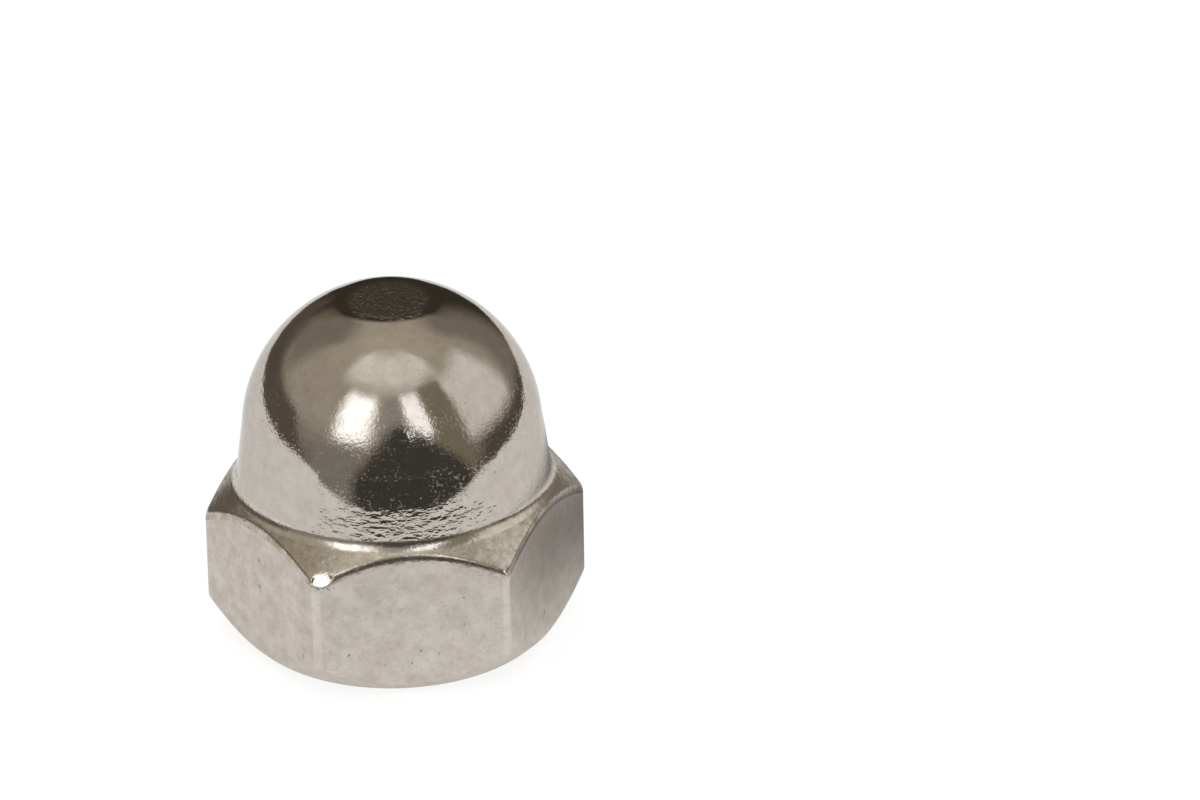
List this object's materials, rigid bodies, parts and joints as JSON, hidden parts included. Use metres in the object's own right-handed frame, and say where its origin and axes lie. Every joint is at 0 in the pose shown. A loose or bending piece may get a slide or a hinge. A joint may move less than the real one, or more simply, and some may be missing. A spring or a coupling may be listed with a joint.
{
  "type": "cap nut",
  "caption": "Domed hexagon cap nut with a blind M10 thread, chamfered top and bottom, in polished stainless steel.",
  "frame": {"origin": "centre of the bearing face, on the thread axis", "axes": "+Z along the thread axis from the bearing face to the dome, +X through two opposite hexagon corners, +Y square to two opposite flats"},
  "size_m": [0.0192, 0.0168, 0.018],
  "materials": {
    "polished_stainless": "tumble polished, satin flats and a mirror bright dome"
  },
  "bodies": {
    "root": {"cap_nut": "polished_stainless"}
  },
  "joints": []
}
